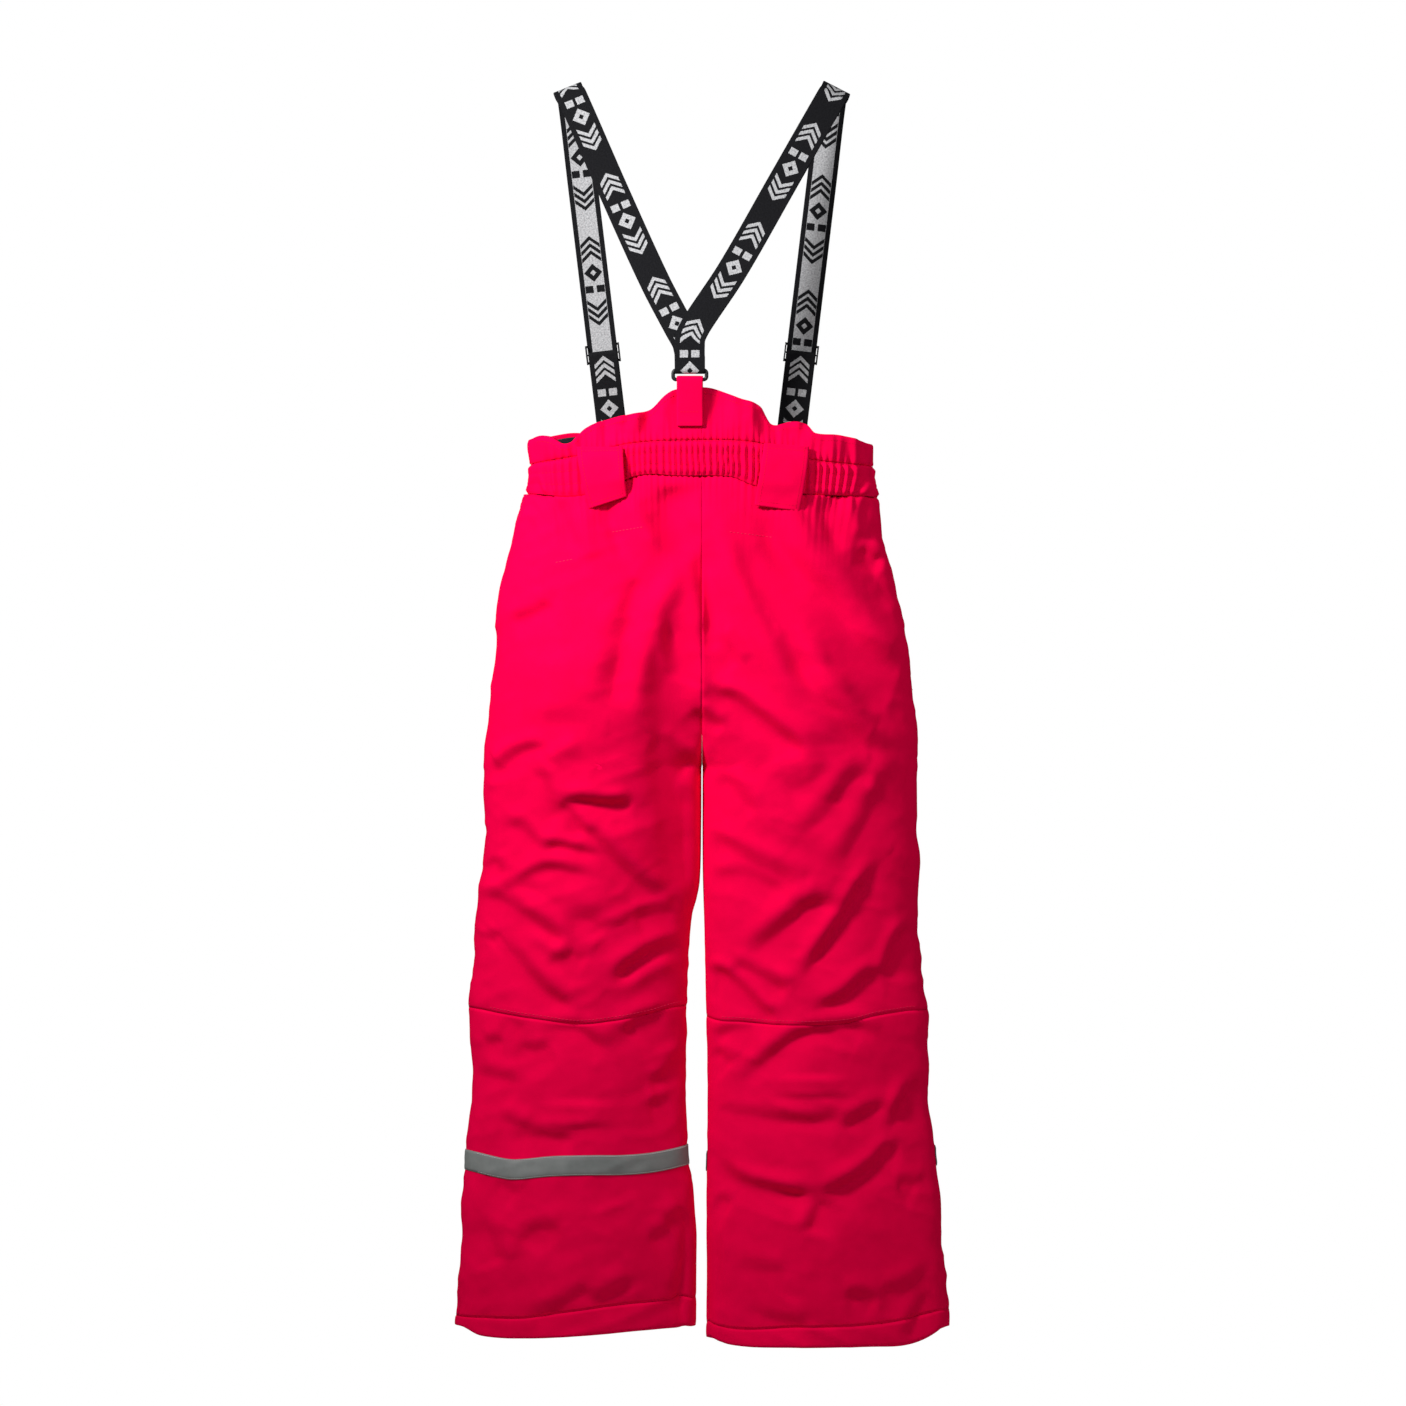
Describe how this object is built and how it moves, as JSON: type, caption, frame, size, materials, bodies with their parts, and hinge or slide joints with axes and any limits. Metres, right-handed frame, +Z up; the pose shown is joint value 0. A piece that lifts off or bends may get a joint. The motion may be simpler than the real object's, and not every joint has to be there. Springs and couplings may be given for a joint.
{
  "type": "ski pants",
  "caption": "Insulated junior ski pants with elastic suspenders, elastic waist with raised back bib, zip fly, belt loops and snow gaiters.",
  "frame": {"origin": "midway between the tops of the two suspender straps, where a hanger or the wearer's shoulders carry them", "axes": "+Z up along the hanging pants, +Y towards the wearer's front, +X towards the wearer's right"},
  "size_m": [0.5, 0.1394, 1.2636],
  "materials": {
    "shell_fabric": "matt raspberry-red coated polyester, fine plain weave",
    "lining_fabric": "smooth black polyester lining",
    "black_fleece": "short-napped black fleece",
    "plain_elastic": "black knitted elastic",
    "suspender_webbing": null,
    "black_plastic": "moulded black acetal, satin",
    "zip_tape": "dark red knitted zip tape with a nylon coil",
    "zip_hardware": "black lacquered die-cast metal",
    "reflective_tape": "silver-grey retroreflective tape",
    "snap_metal": "gunmetal lacquered snap"
  },
  "bodies": {
    "root": {"seat_panel_left": "shell_fabric", "seat_panel_right": "shell_fabric", "front_panel_left": "shell_fabric", "front_panel_right": "shell_fabric", "knee_section_left": "shell_fabric", "knee_section_right": "shell_fabric", "waistband_back": "shell_fabric", "waistband_front_left": "shell_fabric", "waistband_front_right": "shell_fabric", "back_bib": "shell_fabric", "front_frill_left": "shell_fabric", "front_frill_right": "shell_fabric", "belt_loop_left": "shell_fabric", "belt_loop_right": "shell_fabric", "back_strap_tab": "shell_fabric", "front_strap_tab_left": "shell_fabric", "front_strap_tab_right": "shell_fabric", "body_lining": "lining_fabric", "leg_lining_left": "lining_fabric", "leg_lining_right": "lining_fabric", "pocket_bag_left": "lining_fabric", "pocket_bag_right": "lining_fabric", "waist_lining": "black_fleece", "waist_elastic": "plain_elastic", "suspender_strap_left": "suspender_webbing", "suspender_strap_right": "suspender_webbing", "strap_return_left": "suspender_webbing", "strap_return_right": "suspender_webbing", "back_ring": "black_plastic", "front_ring_left": "black_plastic", "front_ring_right": "black_plastic", "fly_zip_tape": "zip_tape", "pocket_zip_left_tape": "zip_tape", "pocket_zip_right_tape": "zip_tape", "snap_stud": "snap_metal"},
    "adjuster_left": {"strap_adjuster_left": "black_plastic"},
    "adjuster_right": {"strap_adjuster_right": "black_plastic"},
    "fly_slider": {"fly_zip_slider": "zip_hardware"},
    "fly_pull": {"fly_zip_pull": "zip_hardware"},
    "pocket_slider_left": {"pocket_zip_left_slider": "zip_hardware"},
    "pocket_slider_right": {"pocket_zip_right_slider": "zip_hardware"},
    "pocket_pull_left": {"pocket_zip_left_pull": "zip_hardware"},
    "pocket_pull_right": {"pocket_zip_right_pull": "zip_hardware"},
    "closure_flap": {"closure_tab": "shell_fabric", "snap_cap": "snap_metal"},
    "lower_leg_left": {"calf_panel_left": "shell_fabric", "shin_panel_left": "shell_fabric", "hem_band_left": "shell_fabric", "snow_gaiter_left": "lining_fabric", "gaiter_elastic_left": "plain_elastic", "calf_lining_left": "lining_fabric", "reflective_tape_left": "reflective_tape"},
    "lower_leg_right": {"calf_panel_right": "shell_fabric", "shin_panel_right": "shell_fabric", "hem_band_right": "shell_fabric", "snow_gaiter_right": "lining_fabric", "gaiter_elastic_right": "plain_elastic", "calf_lining_right": "lining_fabric", "reflective_tape_right": "reflective_tape"}
  },
  "joints": [
    {"name": "adjuster_slide_left", "type": "slide", "parent": "root", "child": "adjuster_left", "axis": [-0.1169, -0.1214, 0.9857], "range_m": [-0.045, 0.16], "deforming": ["strap_return_left"]},
    {"name": "adjuster_slide_right", "type": "slide", "parent": "root", "child": "adjuster_right", "axis": [0.1169, -0.1214, 0.9857], "range_m": [-0.045, 0.16], "deforming": ["strap_return_right"]},
    {"name": "fly_slider_slide", "type": "slide", "parent": "root", "child": "fly_slider", "axis": [0, 0.0954, -0.9954], "range_m": [0, 0.104]},
    {"name": "fly_pull_swing", "type": "hinge", "parent": "fly_slider", "child": "fly_pull", "pos_m": [0, 0.06287, -0.42831], "axis": [1, 0, 0], "range_deg": [0, 150]},
    {"name": "pocket_slider_slide_left", "type": "slide", "parent": "root", "child": "pocket_slider_left", "axis": [-0.2687, 0.0029, -0.9632], "range_m": [0, 0.126]},
    {"name": "pocket_pull_swing_left", "type": "hinge", "parent": "pocket_slider_left", "child": "pocket_pull_left", "pos_m": [-0.16019, 0.04791, -0.47053], "axis": [0.8262, 0.5148, -0.2289], "range_deg": [0, 150]},
    {"name": "pocket_slider_slide_right", "type": "slide", "parent": "root", "child": "pocket_slider_right", "axis": [0.2687, 0.0029, -0.9632], "range_m": [0, 0.126]},
    {"name": "pocket_pull_swing_right", "type": "hinge", "parent": "pocket_slider_right", "child": "pocket_pull_right", "pos_m": [0.16019, 0.04791, -0.47053], "axis": [0.8262, -0.5148, 0.2289], "range_deg": [0, 150]},
    {"name": "closure_tab_hinge", "type": "hinge", "parent": "root", "child": "closure_flap", "pos_m": [-0.014, 0.05664, -0.396], "axis": [0, 0, 1], "range_deg": [0, 150]},
    {"name": "knee_bend_left", "type": "hinge", "parent": "root", "child": "lower_leg_left", "pos_m": [-0.117, 0, -0.93], "axis": [-1, 0, 0], "range_deg": [0, 70], "deforming": ["knee_section_left"]},
    {"name": "knee_bend_right", "type": "hinge", "parent": "root", "child": "lower_leg_right", "pos_m": [0.117, 0, -0.93], "axis": [-1, 0, 0], "range_deg": [0, 70], "deforming": ["knee_section_right"]}
  ]
}
